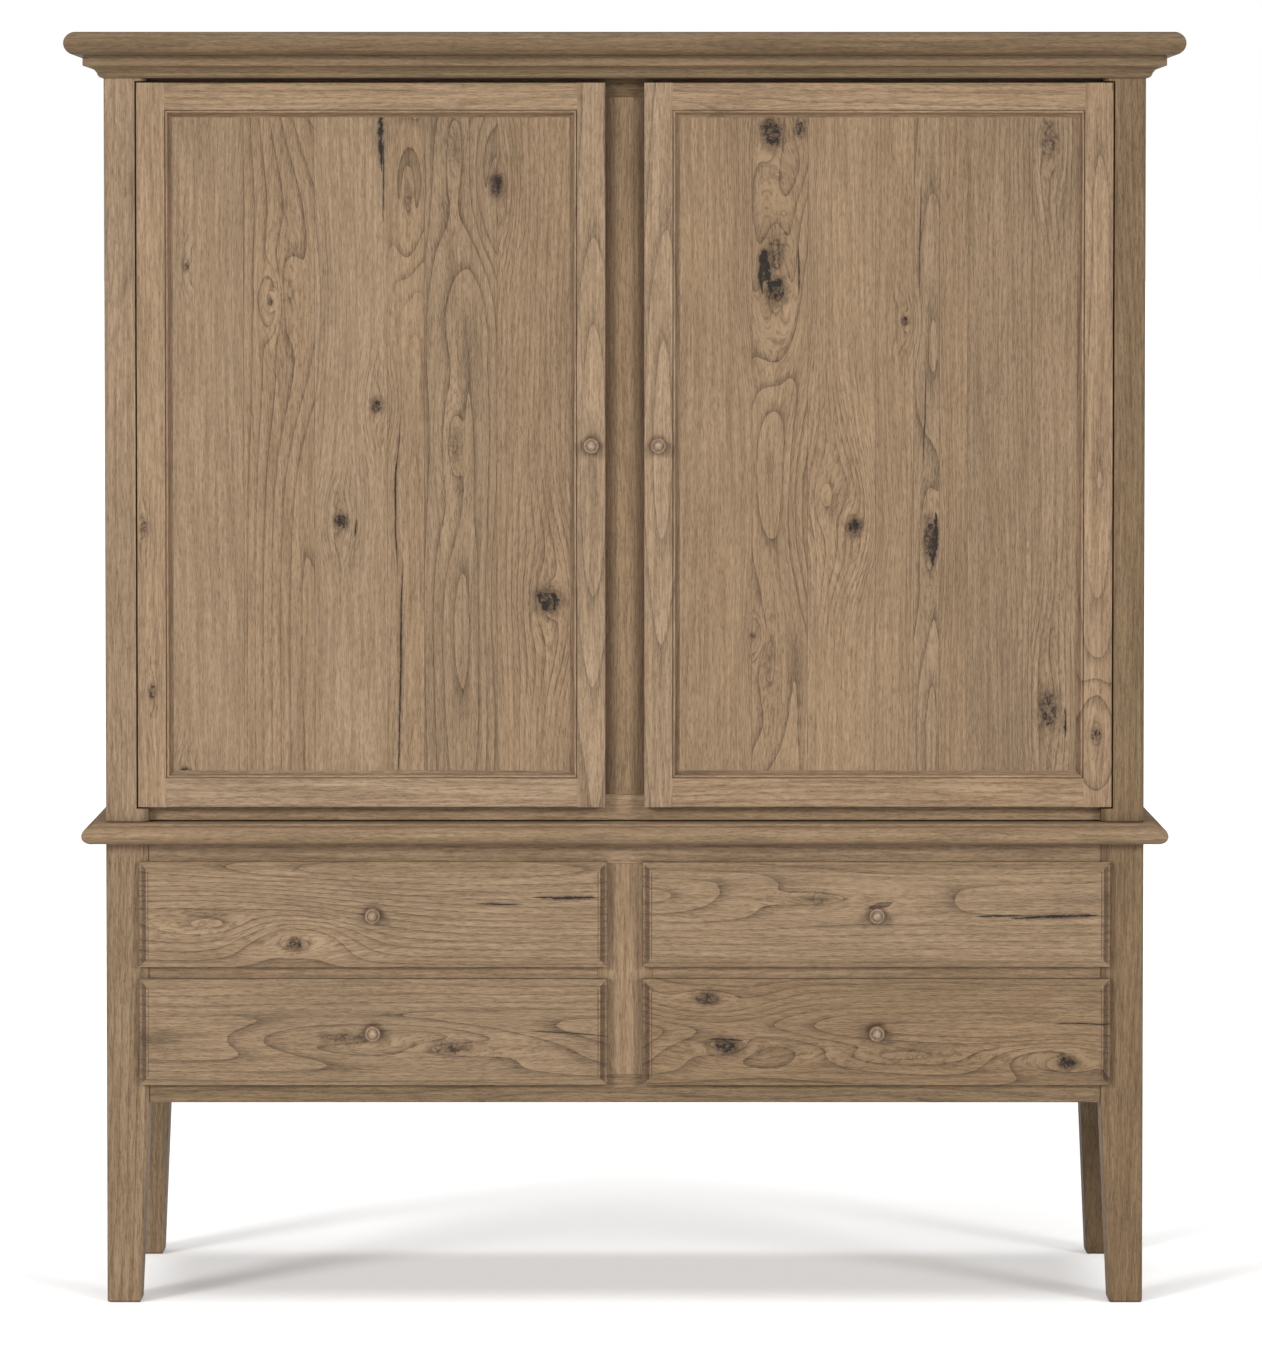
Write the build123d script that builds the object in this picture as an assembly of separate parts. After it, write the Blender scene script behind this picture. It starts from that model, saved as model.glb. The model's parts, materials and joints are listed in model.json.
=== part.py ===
"""Oak armoire: a two-door cupboard standing on a four-drawer base with tapered legs.

Millimetres. +X is the viewer's right, -Y is the front, +Z is up.
The origin is the centre of the footprint on the floor.
"""
from build123d import *
import os

# ---- driving dimensions -------------------------------------------------------------------
HEIGHT = 2032.0              # floor to the top of the crown
CASE_WIDTH = 1660.0          # over the outer faces of the legs and posts
CASE_DEPTH = 502.0           # from the front faces of the legs to the back of the rear legs
CROWN_OVERHANG = 58.0        # of the crown cap, at the front and at both sides

POST = 68.0                  # square section of the legs and of the upper posts
LEG_FOOT = 54.0              # square section of a leg at the floor
POST_ROUND = 7.0             # rounding of the outer corner of a leg or post
ARRIS = 1.2                  # chamfer round the outer edge of a door

TAPER_TOP = 322.0            # below this the legs taper
WAIST_BOTTOM = 739.0         # underside of the moulded waist board
WAIST_TOP = 772.0
CROWN_BOTTOM = 1960.0        # underside of the crown moulding
CAP_BOTTOM = 1995.0

DOOR_GAP = 2.4               # between a door's edge and the rebate in the post
DOOR_OUTER = 778.0           # distance of a door's hinge edge from the middle
DOOR_INNER = 31.0            # distance of a door's free edge from the middle
DOOR_BOTTOM = 796.8
DOOR_TOP = 1952.7
DOOR_THICK = 22.0
STILE_FLAT = 45.0            # flat part of a door stile
TOP_RAIL_FLAT = 43.0
BOTTOM_RAIL_FLAT = 46.0
STICKING = 12.0              # width of the moulding round a door panel
PANEL_SET = 9.0              # depth of a door panel's face below the door's face
PANEL_THICK = 9.0
PANEL_TONGUE = 8.0           # how far a door panel runs into its grooves

DRAWER_INNER = 28.0          # distance of a drawer front's edges from the middle
DRAWER_OUTER = 776.0
UPPER_DRAWER = (541.5, 710.0)      # bottom and top of an upper drawer front
LOWER_DRAWER = (352.0, 522.5)
DRAWER_FRONT_THICK = 20.0
DRAWER_GAP = 0.5             # between a drawer front's back and the legs
BEVEL_WIDTH = 14.0           # moulded border of a drawer front
BEVEL_DEPTH = 9.5

FRAME_SET = 3.0              # base rails lie this far behind the faces of the legs
BASE_FRAME_THICK = 28.0
UPPER_FRAME_THICK = 22.0
MULLION_BASE = 88.0          # width of the upright between the drawers
MULLION_UPPER = 98.0         # width of the upright between the doors
BASE_RAILS = {"bottom": (322.0, 367.0), "middle": (512.0, 552.0), "top": (706.0, WAIST_BOTTOM)}
UPPER_RAILS = {"bottom": (774.0, 814.8), "top": (1930.7, CAP_BOTTOM)}
POST_CHAMFER = 9.0

SIDE_SET = 8.0               # side panels lie this far inside the faces of the legs
SIDE_THICK = 18.0
BACK_SET = 8.0
BACK_THICK = 10.0
BOARD = 18.0                 # partitions, floors, roof and shelves

KNOB_TENON = 5.0             # radius of the tenon that holds a knob
KNOB_TENON_LENGTH = 14.0
RUNNER_SIDE = 745.0          # inner edge of the runners and kickers at the sides
RUNNER_MIDDLE = 60.0         # outer edge of those at the partition
PIN_RADIUS = 2.5
PIN_LENGTH = 16.0
RAIL_RADIUS = 12.5

# ---- places worked out from them ----------------------------------------------------------
REAR = (CASE_DEPTH + CROWN_OVERHANG) / 2
FRONT = REAR - CASE_DEPTH
HALF = CASE_WIDTH / 2
POST_INNER = HALF - POST
POST_BACK = FRONT + POST             # back of the front legs
REAR_POST_FRONT = REAR - POST
DOOR_BACK = FRONT + DOOR_THICK
UPPER_FRAME = DOOR_BACK + 2.0        # face of the rails behind the doors
UPPER_FRAME_BACK = UPPER_FRAME + UPPER_FRAME_THICK
BASE_FRAME = FRONT + FRAME_SET
BASE_FRAME_BACK = BASE_FRAME + BASE_FRAME_THICK
BACK_FACE = REAR - BACK_SET - BACK_THICK
SIDE_OUTER = HALF - SIDE_SET
SIDE_INNER = SIDE_OUTER - SIDE_THICK
DRAWER_BACK = FRONT - DRAWER_GAP
DRAWER_FACE = DRAWER_BACK - DRAWER_FRONT_THICK
ROOF_BOTTOM = 1948.0
HAT_SHELF_TOP = 1720.0
RIGHT_SHELF_TOPS = (1190.0, 1570.0)
HANGING_RAIL_Z = 1640.0
HANGING_RAIL_Y = 30.0
PIN_ROWS = (-80.0, 140.0)            # depth of the two rows of shelf pins
PIN_PITCH = 32.0
PIN_HOLES_EACH_WAY = 3               # spare holes above and below a pin
HINGE_HEIGHTS = (DOOR_BOTTOM + 110.0, (DOOR_BOTTOM + DOOR_TOP) / 2, DOOR_TOP - 110.0)


# ---- helpers ------------------------------------------------------------------------------
def board(x0, x1, y0, y1, z0, z1):
    """A straight board between two opposite corners."""
    centre = ((x0 + x1) / 2, (y0 + y1) / 2, (z0 + z1) / 2)
    return Pos(*centre) * Box(x1 - x0, y1 - y0, z1 - z0)


def rod(radius, start, end):
    """A round bar from one point to another."""
    way = Vector(*end) - Vector(*start)
    return extrude(Plane(origin=start, z_dir=way) * Circle(radius), way.length)


def other_side(piece):
    """The same piece on the left."""
    return mirror(piece, about=Plane.YZ)


def both_sides(pieces):
    """Pieces and their mirror images."""
    return pieces + [other_side(piece) for piece in pieces]


def save(name, *pieces):
    """Write one node, of one solid or of several separate solids."""
    solids = [solid for piece in pieces for solid in piece.solids()]
    shape = solids[0] if len(solids) == 1 else Compound(children=solids)
    export_step(shape, f"parts/{name}.step")


FRONT_RUN = Plane(origin=(0, FRONT, 0), x_dir=(0, -1, 0), z_dir=(-1, 0, 0))
RIGHT_RUN = Plane(origin=(HALF, 0, 0), x_dir=(1, 0, 0), z_dir=(0, -1, 0))
LEFT_RUN = Plane(origin=(-HALF, 0, 0), x_dir=(-1, 0, 0), z_dir=(0, 1, 0))


def moulded_board(outline):
    """A board whose edge outline runs mitred along the front and both sides.

    outline(back) gives the closed section: its first coordinate is the distance out from
    the case, and it runs back by the distance back behind the face.
    """
    along_front = extrude(FRONT_RUN * outline(CASE_DEPTH), CASE_WIDTH, both=True)
    right_half = extrude(RIGHT_RUN * outline(HALF), CASE_DEPTH * 2, both=True)
    left_half = extrude(LEFT_RUN * outline(HALF), CASE_DEPTH * 2, both=True)
    return along_front & (right_half + left_half)


def corner_squares(bottom, top):
    """The four corner spaces that the legs or posts fill."""
    front = board(POST_INNER, HALF, FRONT, POST_BACK, bottom, top)
    rear = board(POST_INNER, HALF, REAR_POST_FRONT, REAR, bottom, top)
    return both_sides([front, rear])


def notched(piece):
    """A board cut away at the four legs or posts."""
    for square in corner_squares(0, HEIGHT):
        piece = piece - square
    return piece


# ---- base: legs, sides and frame ----------------------------------------------------------
def leg():
    """The right front leg: outer faces plumb, inner faces tapering below the case."""
    foot_inner = HALF - LEG_FOOT
    foot_back = FRONT + LEG_FOOT
    seen_from_front = Polyline((HALF, 0), (HALF, WAIST_BOTTOM), (POST_INNER, WAIST_BOTTOM),
                               (POST_INNER, TAPER_TOP), (foot_inner, 0), close=True)
    seen_from_side = Polyline((FRONT, 0), (FRONT, WAIST_BOTTOM), (POST_BACK, WAIST_BOTTOM),
                              (POST_BACK, TAPER_TOP), (foot_back, 0), close=True)
    across = extrude(Plane.XZ * make_face(seen_from_front), CASE_DEPTH, both=True)
    through = extrude(Plane.YZ * make_face(seen_from_side), CASE_WIDTH, both=True)
    blank = (across & through).solid()
    corner = blank.edges().filter_by(Axis.Z).sort_by_distance((HALF, FRONT, TAPER_TOP))[0]
    blank = blank.fillet(POST_ROUND, [corner])
    foot = blank.edges().group_by(Axis.Z)[0]
    return blank.chamfer(2.5, None, foot)


def rear_of(piece):
    """The matching piece at the rear of the case."""
    middle = Plane(origin=(0, (FRONT + REAR) / 2, 0), x_dir=(1, 0, 0), z_dir=(0, 1, 0))
    return mirror(piece, about=middle)


def rail(kind, levels, inner, outer, face, back):
    """A level rail of the front frame."""
    bottom, top = levels[kind]
    return board(inner, outer, face, back, bottom, top)


def base_runner(top, depth):
    """Bearers and guides for one drawer: one at the side of the case, one at the partition."""
    guide = 14.0
    at_side = notched(board(RUNNER_SIDE, SIDE_INNER, BASE_FRAME_BACK, BACK_FACE, top - depth, top))
    side_guide = board(POST_INNER, SIDE_INNER, POST_BACK, REAR_POST_FRONT, top, top + guide)
    at_middle = board(BOARD / 2, RUNNER_MIDDLE, BASE_FRAME_BACK, BACK_FACE, top - depth, top)
    middle_guide = board(BOARD / 2, MULLION_BASE / 2, BASE_FRAME_BACK, BACK_FACE, top, top + guide)
    return [(at_side + side_guide).solid(), (at_middle + middle_guide).solid()]


def kickers():
    """Strips above an upper drawer that stop it from tipping when it is pulled out."""
    bottom, top = BASE_RAILS["top"]
    at_side = notched(board(RUNNER_SIDE, SIDE_INNER, BASE_FRAME_BACK, BACK_FACE, bottom, top))
    at_middle = board(BOARD / 2, RUNNER_MIDDLE, BASE_FRAME_BACK, BACK_FACE, bottom, top)
    return [at_side, at_middle]


def make_base():
    right_leg = leg()
    save("leg_front_right", right_leg)
    save("leg_front_left", other_side(right_leg))
    save("leg_rear_right", rear_of(right_leg))
    save("leg_rear_left", other_side(rear_of(right_leg)))

    side = board(SIDE_INNER, SIDE_OUTER, POST_BACK, REAR_POST_FRONT, TAPER_TOP, WAIST_BOTTOM)
    save("base_side_right", side)
    save("base_side_left", other_side(side))
    back = board(-POST_INNER, POST_INNER, BACK_FACE, BACK_FACE + BACK_THICK, TAPER_TOP, WAIST_BOTTOM)
    save("base_back", back)

    for kind in ("top", "bottom"):
        piece = rail(kind, BASE_RAILS, -POST_INNER, POST_INNER, BASE_FRAME, BASE_FRAME_BACK)
        save(f"base_{kind}_rail", piece)
    middle = rail("middle", BASE_RAILS, MULLION_BASE / 2, POST_INNER, BASE_FRAME, BASE_FRAME_BACK)
    save("base_middle_rails", middle, other_side(middle))
    mullion = board(-MULLION_BASE / 2, MULLION_BASE / 2, BASE_FRAME, BASE_FRAME_BACK,
                    BASE_RAILS["bottom"][1], BASE_RAILS["top"][0])
    save("base_mullion", mullion)

    floor_bottom = BASE_RAILS["bottom"][0] + 8
    floor_top = floor_bottom + 12
    floor = board(-SIDE_INNER, SIDE_INNER, BASE_FRAME_BACK, BACK_FACE, floor_bottom, floor_top)
    save("base_floor", notched(floor))
    partition = board(-BOARD / 2, BOARD / 2, BASE_FRAME_BACK, BACK_FACE, floor_top, WAIST_BOTTOM)
    save("base_partition", partition)

    lower_top = BASE_RAILS["bottom"][1]
    upper_bottom, upper_top = BASE_RAILS["middle"]
    runners = base_runner(lower_top, lower_top - floor_top) + base_runner(upper_top, upper_top - upper_bottom)
    save("drawer_runners", *both_sides(runners))
    save("drawer_kickers", *both_sides(kickers()))


# ---- waist and crown ----------------------------------------------------------------------
NOSE_HEIGHT = 752.6          # level of the waist board's furthest reach
NOSE_REACH = 36.0
LEDGE = 19.0                 # flat underside beyond the case


def waist_outline(back):
    """A small step over a full round nose that curls back under to a flat ledge."""
    top_radius = 15.2
    step_radius = 3.0
    curl = EllipticalCenterArc((LEDGE, NOSE_HEIGHT), NOSE_REACH - LEDGE, NOSE_HEIGHT - WAIST_BOTTOM,
                               start_angle=270, arc_size=90)
    nose = CenterArc((NOSE_REACH - top_radius, NOSE_HEIGHT), top_radius, 0, 90)
    step_foot = (nose @ 1).X - 0.8
    step = CenterArc((step_foot - step_radius, WAIST_TOP - step_radius), step_radius, 0, 90)
    under = Line((-back, WAIST_BOTTOM), (LEDGE, WAIST_BOTTOM))
    riser = Polyline(nose @ 1, (step_foot, NOSE_HEIGHT + top_radius), step @ 0)
    over = Polyline(step @ 1, (-back, WAIST_TOP), (-back, WAIST_BOTTOM))
    return make_face([under, curl, nose, riser, step, over])


def cap_outline(back):
    """The crown cap: a thick board with a half-round edge."""
    radius = (HEIGHT - CAP_BOTTOM) / 2
    centre = (CROWN_OVERHANG - radius, CAP_BOTTOM + radius)
    edge = CenterArc(centre, radius, -90, 180)
    body = Polyline(edge @ 1, (-back, HEIGHT), (-back, CAP_BOTTOM), edge @ 0)
    return make_face([edge, body])


def crown_outline(back):
    """The crown moulding: bead, cove and fascia, from the case outwards."""
    bead_radius = 8.5
    bead_start = 0.5
    cove_start = (10.0, CROWN_BOTTOM + bead_radius)
    cove_end = (28.0, 1978.7)
    cove_middle = (17.5, 1976.2)
    fascia = 30.0
    bead = CenterArc((bead_start, CROWN_BOTTOM + bead_radius), bead_radius, 270, 90)
    cove = ThreePointArc(cove_start, cove_middle, cove_end)
    under = Line((-back, CROWN_BOTTOM), bead @ 0)
    quirk = Line(bead @ 1, cove_start)
    rest = Polyline(cove_end, (fascia, cove_end[1]), (fascia, CAP_BOTTOM), (-back, CAP_BOTTOM),
                    (-back, CROWN_BOTTOM))
    return make_face([under, bead, quirk, cove, rest])


def crown_lengths():
    """The crown moulding as a front length and two side lengths, mitred at the corners."""
    reach = 40.0
    ring = moulded_board(crown_outline)
    ring = ring - board(-HALF, HALF, FRONT, REAR + 1, 0, HEIGHT)
    ring = ring & board(-HALF - reach, HALF + reach, FRONT - reach, REAR, 0, HEIGHT)
    front_plan = Polyline((-HALF - reach, FRONT - reach), (HALF + reach, FRONT - reach),
                          (HALF, FRONT), (-HALF, FRONT), close=True)
    side_plan = Polyline((HALF, FRONT), (HALF + reach, FRONT - reach), (HALF + reach, REAR),
                         (HALF, REAR), close=True)
    front = ring & extrude(make_face(front_plan), HEIGHT)
    side = ring & extrude(make_face(side_plan), HEIGHT)
    filling = board(-POST_INNER, POST_INNER, FRONT, UPPER_FRAME, CROWN_BOTTOM, CAP_BOTTOM)
    return (front + filling).solid(), side.solid(), other_side(side).solid()


def make_waist_and_crown():
    waist = moulded_board(waist_outline)
    for hole in case_bolt_places():
        waist = waist - rod(4, (*hole, WAIST_BOTTOM), (*hole, HEIGHT))
    save("waist_top", waist & board(-HEIGHT, HEIGHT, -HEIGHT, REAR, 0, HEIGHT))
    cap = moulded_board(cap_outline) & board(-HEIGHT, HEIGHT, -HEIGHT, REAR, 0, HEIGHT)
    save("crown_cap", cap)
    save("crown_moulding", *crown_lengths())


# ---- upper case ---------------------------------------------------------------------------
def upper_post():
    """The right front post: round outer corner, chamfered inner corner, rebate for the door."""
    plan = Polyline((HALF, FRONT), (HALF, POST_BACK), (POST_INNER, POST_BACK),
                    (POST_INNER, FRONT + POST_CHAMFER), (POST_INNER + POST_CHAMFER, FRONT), close=True)
    blank = extrude(make_face(plan), CAP_BOTTOM - WAIST_TOP).moved(Pos(0, 0, WAIST_TOP)).solid()
    corner = blank.edges().filter_by(Axis.Z).sort_by_distance((HALF, FRONT, CROWN_BOTTOM))[0]
    blank = blank.fillet(POST_ROUND, [corner])
    blank = blank.chamfer(2.0, None, blank.edges().group_by(Axis.Z)[0])
    rebate = board(POST_INNER, DOOR_OUTER + DOOR_GAP, FRONT, UPPER_FRAME,
                   DOOR_BOTTOM - DOOR_GAP, DOOR_TOP + DOOR_GAP)
    return (blank - rebate).solid()


def rear_post():
    """The right rear post: a plain square with a round outer corner."""
    blank = board(POST_INNER, HALF, REAR_POST_FRONT, REAR, WAIST_TOP, CAP_BOTTOM).solid()
    corner = blank.edges().filter_by(Axis.Z).sort_by_distance((HALF, REAR, CROWN_BOTTOM))[0]
    blank = blank.fillet(POST_ROUND, [corner])
    return blank.chamfer(2.0, None, blank.edges().group_by(Axis.Z)[0])


def pin_heights(shelf_top):
    """Heights of the pin holes round one shelf, the pin's own in the middle."""
    level = shelf_top - BOARD - PIN_RADIUS
    steps = range(-PIN_HOLES_EACH_WAY, PIN_HOLES_EACH_WAY + 1)
    return [level + PIN_PITCH * step for step in steps]


def with_pin_holes(piece, inner_face, into, shelf_tops):
    """A side panel or partition with its rows of shelf-pin holes."""
    for shelf_top in shelf_tops:
        for height in pin_heights(shelf_top):
            for depth in PIN_ROWS:
                start = (inner_face, depth, height)
                end = (inner_face + into * PIN_LENGTH / 2, depth, height)
                piece = piece - rod(PIN_RADIUS, start, end)
    return piece


def shelf_pins(side, shelf_tops):
    """The pins under the shelves of one bay; side is 1 for the right bay, -1 for the left."""
    pins = []
    for shelf_top in shelf_tops:
        level = shelf_top - BOARD - PIN_RADIUS
        for depth in PIN_ROWS:
            for face, way in ((BOARD / 2, -1), (SIDE_INNER, 1)):
                start = (side * (face + way * PIN_LENGTH / 2), depth, level)
                end = (side * (face - way * PIN_LENGTH / 2), depth, level)
                pins.append(rod(PIN_RADIUS, start, end))
    return pins


def case_bolt_places():
    """Where the four bolts between the two cases stand."""
    return [(side * 700.0, depth) for side in (-1, 1) for depth in (-110.0, 190.0)]


def case_bolt(place):
    """A bolt from the cupboard floor down into the waist board."""
    floor_top = UPPER_RAILS["bottom"][1]
    head = rod(7, (*place, floor_top), (*place, floor_top + 4))
    shank = rod(4, (*place, WAIST_BOTTOM + 4), (*place, floor_top))
    return (head + shank).solid()


def make_upper_case():
    post = upper_post()
    save("upper_post_front_right", post)
    save("upper_post_front_left", other_side(post))
    save("upper_rear_posts", rear_post(), other_side(rear_post()))

    rail_thick = 26.0
    top_level = 1905.0
    bottom_level = 850.0
    rail_out = SIDE_OUTER + 4
    low = board(rail_out - rail_thick, rail_out, POST_BACK, REAR_POST_FRONT, UPPER_RAILS["bottom"][0], bottom_level)
    high = board(rail_out - rail_thick, rail_out, POST_BACK, REAR_POST_FRONT, top_level, CAP_BOTTOM)
    save("upper_side_rails", *both_sides([low, high]))
    side = board(SIDE_INNER, SIDE_OUTER, POST_BACK, REAR_POST_FRONT, bottom_level, top_level)
    save("upper_side_right", with_pin_holes(side, SIDE_INNER, 1, RIGHT_SHELF_TOPS))
    save("upper_side_left", with_pin_holes(other_side(side), -SIDE_INNER, -1, (HAT_SHELF_TOP,)))
    back = board(-POST_INNER, POST_INNER, BACK_FACE, BACK_FACE + BACK_THICK, UPPER_RAILS["bottom"][0], CAP_BOTTOM)
    save("upper_back", back)

    for kind in ("top", "bottom"):
        piece = rail(kind, UPPER_RAILS, -POST_INNER, POST_INNER, UPPER_FRAME, UPPER_FRAME_BACK)
        save(f"upper_{kind}_rail", piece)
    floor_top = UPPER_RAILS["bottom"][1]
    mullion = board(-MULLION_UPPER / 2, MULLION_UPPER / 2, UPPER_FRAME, UPPER_FRAME_BACK,
                    floor_top, UPPER_RAILS["top"][0])
    save("upper_mullion", mullion)

    inside = rail_out - rail_thick
    floor = notched(board(-inside, inside, UPPER_FRAME_BACK, BACK_FACE, floor_top - BOARD, floor_top))
    for hole in case_bolt_places():
        floor = floor - rod(4, (*hole, WAIST_TOP), (*hole, HEIGHT))
    save("upper_floor", floor)
    save("case_bolts", *[case_bolt(place) for place in case_bolt_places()])
    roof = board(-inside, inside, UPPER_FRAME_BACK, BACK_FACE, ROOF_BOTTOM, ROOF_BOTTOM + BOARD)
    save("upper_roof", notched(roof))
    partition = board(-BOARD / 2, BOARD / 2, UPPER_FRAME_BACK, BACK_FACE, floor_top, ROOF_BOTTOM)
    partition = with_pin_holes(partition, BOARD / 2, -1, RIGHT_SHELF_TOPS)
    save("upper_partition", with_pin_holes(partition, -BOARD / 2, 1, (HAT_SHELF_TOP,)))


def shelf(top):
    """A shelf of the right bay."""
    ease = 1.0
    return board(BOARD / 2 + ease, SIDE_INNER - ease, POST_BACK + 4, REAR_POST_FRONT - 4,
                 top - BOARD, top)


def make_fittings():
    shelves = [shelf(top) for top in RIGHT_SHELF_TOPS]
    save("shelves", *shelves, other_side(shelf(HAT_SHELF_TOP)))
    save("shelf_pins", *shelf_pins(1, RIGHT_SHELF_TOPS), *shelf_pins(-1, (HAT_SHELF_TOP,)))

    cheek = 8.0
    left_end = (-SIDE_INNER, HANGING_RAIL_Y, HANGING_RAIL_Z)
    right_end = (-BOARD / 2, HANGING_RAIL_Y, HANGING_RAIL_Z)
    left_cheek = (-SIDE_INNER + cheek, HANGING_RAIL_Y, HANGING_RAIL_Z)
    right_cheek = (-BOARD / 2 - cheek, HANGING_RAIL_Y, HANGING_RAIL_Z)
    pole = rod(RAIL_RADIUS, left_end, right_end)
    save("hanging_rail", pole)
    save("rail_sockets", rod(22, left_end, left_cheek) - pole, rod(22, right_cheek, right_end) - pole)


# ---- doors --------------------------------------------------------------------------------
DOOR_WIDTH = DOOR_OUTER - DOOR_INNER
DOOR_HEIGHT = DOOR_TOP - DOOR_BOTTOM


def frame_outline(flat):
    """Section of a door stile or rail.

    The first coordinate runs in from the door's outer edge, the second back from its face.
    The inner edge carries a quirk, a bead and a cove, and a groove for the panel.
    """
    inner = flat + STICKING
    groove = inner - PANEL_TONGUE
    bead_radius = 2.2
    quirk = 1.2
    bead_middle = (flat + 0.6 + bead_radius, quirk + bead_radius)
    bead = CenterArc(bead_middle, bead_radius, 180, 180)
    cove_start = (bead_middle[0] + bead_radius, bead_middle[1] + 0.8)
    cove_end = (inner, PANEL_SET)
    cove = RadiusArc(cove_start, cove_end, 8.0)
    face = Polyline((0, ARRIS), (ARRIS, 0), (flat, 0), (flat, bead_middle[1]), bead @ 0)
    quirk_foot = Line(bead @ 1, cove_start)
    rest = Polyline(cove_end, (groove, PANEL_SET), (groove, PANEL_SET + PANEL_THICK),
                    (inner, PANEL_SET + PANEL_THICK), (inner, DOOR_THICK), (0, DOOR_THICK), (0, ARRIS))
    return make_face([face, bead, quirk_foot, cove, rest])


def frame_length(origin, inward, along, flat, length, plan):
    """A stile or rail: its section run along the edge, cut to its plan with mitred sticking."""
    section = Plane(origin=origin, x_dir=inward, z_dir=along) * frame_outline(flat)
    return (extrude(section, length) & extrude(Plane.XZ * make_face(plan), CASE_DEPTH, both=True)).solid()


def door_stiles():
    """The hinge stile and the free stile of the right door."""
    def plan(edge, way):
        flat = edge + way * STILE_FLAT
        inner = edge + way * (STILE_FLAT + STICKING)
        low = DOOR_BOTTOM + BOTTOM_RAIL_FLAT
        high = DOOR_TOP - TOP_RAIL_FLAT
        return Polyline((edge, DOOR_BOTTOM), (flat, DOOR_BOTTOM), (flat, low), (inner, low + STICKING),
                        (inner, high - STICKING), (flat, high), (flat, DOOR_TOP), (edge, DOOR_TOP),
                        close=True)

    free = frame_length((DOOR_INNER, FRONT, DOOR_BOTTOM), (1, 0, 0), (0, 0, 1), STILE_FLAT,
                        DOOR_HEIGHT, plan(DOOR_INNER, 1))
    hinged = frame_length((DOOR_OUTER, FRONT, DOOR_TOP), (-1, 0, 0), (0, 0, -1), STILE_FLAT,
                          DOOR_HEIGHT, plan(DOOR_OUTER, -1))
    return free, hinged


def door_rails():
    """The bottom and top rails of the right door."""
    left = DOOR_INNER + STILE_FLAT
    right = DOOR_OUTER - STILE_FLAT

    def plan(edge, way, flat):
        inner = edge + way * flat
        tip = inner + way * STICKING
        return Polyline((left, edge), (right, edge), (right, inner), (right - STICKING, tip),
                        (left + STICKING, tip), (left, inner), close=True)

    bottom = frame_length((DOOR_OUTER, FRONT, DOOR_BOTTOM), (0, 0, 1), (-1, 0, 0), BOTTOM_RAIL_FLAT,
                          DOOR_WIDTH, plan(DOOR_BOTTOM, 1, BOTTOM_RAIL_FLAT))
    top = frame_length((DOOR_INNER, FRONT, DOOR_TOP), (0, 0, -1), (1, 0, 0), TOP_RAIL_FLAT,
                       DOOR_WIDTH, plan(DOOR_TOP, -1, TOP_RAIL_FLAT))
    return bottom, top


def door_panel():
    """The flat panel, its edges held in the grooves of the frame."""
    hidden = STICKING - PANEL_TONGUE
    return board(DOOR_INNER + STILE_FLAT + hidden, DOOR_OUTER - STILE_FLAT - hidden,
                 FRONT + PANEL_SET, FRONT + PANEL_SET + PANEL_THICK,
                 DOOR_BOTTOM + BOTTOM_RAIL_FLAT + hidden, DOOR_TOP - TOP_RAIL_FLAT - hidden)


CUP_RADIUS = 17.5
CUP_DEPTH = 11.5
CUP_CENTRE = DOOR_OUTER - 22.5
FLANGE = 1.0


def hinge_cup(height):
    """A concealed hinge's cup, let into the back of the door, with its flange and two screws."""
    floor = DOOR_BACK - CUP_DEPTH
    place = (CUP_CENTRE, floor, height)
    cup = rod(CUP_RADIUS, place, (CUP_CENTRE, DOOR_BACK, height))
    flange_plan = Pos(CUP_CENTRE, 0, height) * Box(30, FLANGE, 62)
    flange = flange_plan.moved(Pos(0, DOOR_BACK + FLANGE / 2, 0)) + rod(
        CUP_RADIUS + 1.5, (CUP_CENTRE, DOOR_BACK, height), (CUP_CENTRE, DOOR_BACK + FLANGE, height))
    hollow = rod(CUP_RADIUS - 1.5, (CUP_CENTRE, floor + 1, height), (CUP_CENTRE, REAR, height))
    return (cup + flange - hollow).solid()


def hinge_plate(height):
    """The mounting plate of one hinge, on the inner face of the post."""
    return board(POST_INNER - 3, POST_INNER, UPPER_FRAME + 6, POST_BACK - 2, height - 26, height + 26)


def hinge_arm(height):
    """The arm of one hinge: a channel on the plate with a rounded nose at the door."""
    outer = POST_INNER - 3
    body = board(outer - 11, outer, DOOR_BACK + 1.5, POST_BACK - 8, height - 7, height + 7).solid()
    long_edges = body.edges().filter_by(Axis.Y).group_by(Axis.X)[0]
    body = body.fillet(3, long_edges)
    slot = board(outer - 12, outer - 8, DOOR_BACK + 18, DOOR_BACK + 26, height - 2.5, height + 2.5)
    return (body - slot).solid()


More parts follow.
